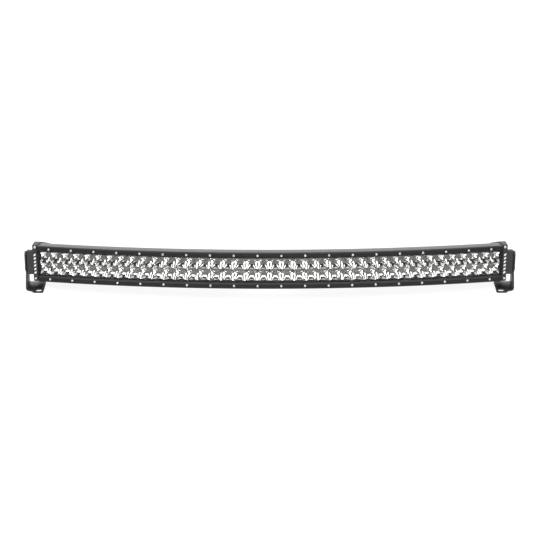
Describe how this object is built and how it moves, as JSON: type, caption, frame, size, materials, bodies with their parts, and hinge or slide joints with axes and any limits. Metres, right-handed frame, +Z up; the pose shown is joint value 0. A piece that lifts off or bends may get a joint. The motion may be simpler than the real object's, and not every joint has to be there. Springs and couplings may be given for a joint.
{
  "type": "led light bar",
  "caption": "Curved double-row LED light bar with finned housing, clear lens, wedge end caps and two tilting foot brackets.",
  "frame": {"origin": "on the mounting surface, under the middle of the whole part", "axes": "+Z up; the light shines towards -Y; +X along the bar, to the right as seen from in front"},
  "size_m": [1.0788, 0.1484, 0.1107],
  "materials": {
    "black_metal": "satin black coat over extruded aluminium",
    "black_steel": "satin black powder coat over steel plate",
    "cast_metal": "textured black coat over cast aluminium",
    "clear_lens": "clear polycarbonate lens",
    "metallised": "vacuum-metallised plastic",
    "led_board": "white solder mask on a metal-core board",
    "driver_board": "green circuit board",
    "rubber": "matt silicone rubber",
    "nylon": "black nylon",
    "stainless": "stainless steel"
  },
  "bodies": {
    "light_bar": {"housing": "black_metal", "fins_left": "black_metal", "fins_right": "black_metal", "top_bezel": "black_metal", "bottom_bezel": "black_metal", "end_cap_left": "cast_metal", "end_cap_right": "cast_metal", "lens": "clear_lens", "reflector_01": "metallised", "reflector_02": "metallised", "reflector_03": "metallised", "reflector_04": "metallised", "reflector_05": "metallised", "reflector_06": "metallised", "reflector_07": "metallised", "reflector_08": "metallised", "reflector_09": "metallised", "reflector_10": "metallised", "reflector_11": "metallised", "reflector_12": "metallised", "reflector_13": "metallised", "reflector_14": "metallised", "reflector_15": "metallised", "reflector_16": "metallised", "reflector_17": "metallised", "reflector_18": "metallised", "reflector_19": "metallised", "reflector_20": "metallised", "led_board_1": "led_board", "led_board_2": "led_board", "driver_board_left": "driver_board", "driver_board_right": "driver_board", "lens_gasket_top": "rubber", "lens_gasket_bottom": "rubber", "cap_gasket_left": "rubber", "cap_gasket_right": "rubber", "inner_lead": "rubber", "friction_washer_left": "nylon", "friction_washer_right": "nylon", "cable_gland": "nylon", "gland_nut": "nylon", "breather_vent": "nylon", "cap_screw_upper_left": "stainless", "front_screw_upper_left": "stainless", "cap_screw_lower_left": "stainless", "front_screw_lower_left": "stainless", "pivot_bolt_left": "stainless", "pivot_washer_left": "stainless", "lock_bolt_left": "stainless", "lock_washer_left": "stainless", "cap_screw_upper_right": "stainless", "front_screw_upper_right": "stainless", "cap_screw_lower_right": "stainless", "front_screw_lower_right": "stainless", "pivot_bolt_right": "stainless", "pivot_washer_right": "stainless", "lock_bolt_right": "stainless", "lock_washer_right": "stainless"},
    "left_bracket": {"bracket_left": "black_steel"},
    "right_bracket": {"bracket_right": "black_steel"}
  },
  "joints": [
    {"name": "left_tilt", "type": "hinge", "parent": "light_bar", "child": "left_bracket", "pos_m": [-0.532, 0.0086, 0.036], "axis": [1, 0, 0], "range_deg": [-29, 11]},
    {"name": "right_tilt", "type": "hinge", "parent": "light_bar", "child": "right_bracket", "pos_m": [0.532, 0.0086, 0.036], "axis": [1, 0, 0], "range_deg": [-29, 11]}
  ]
}
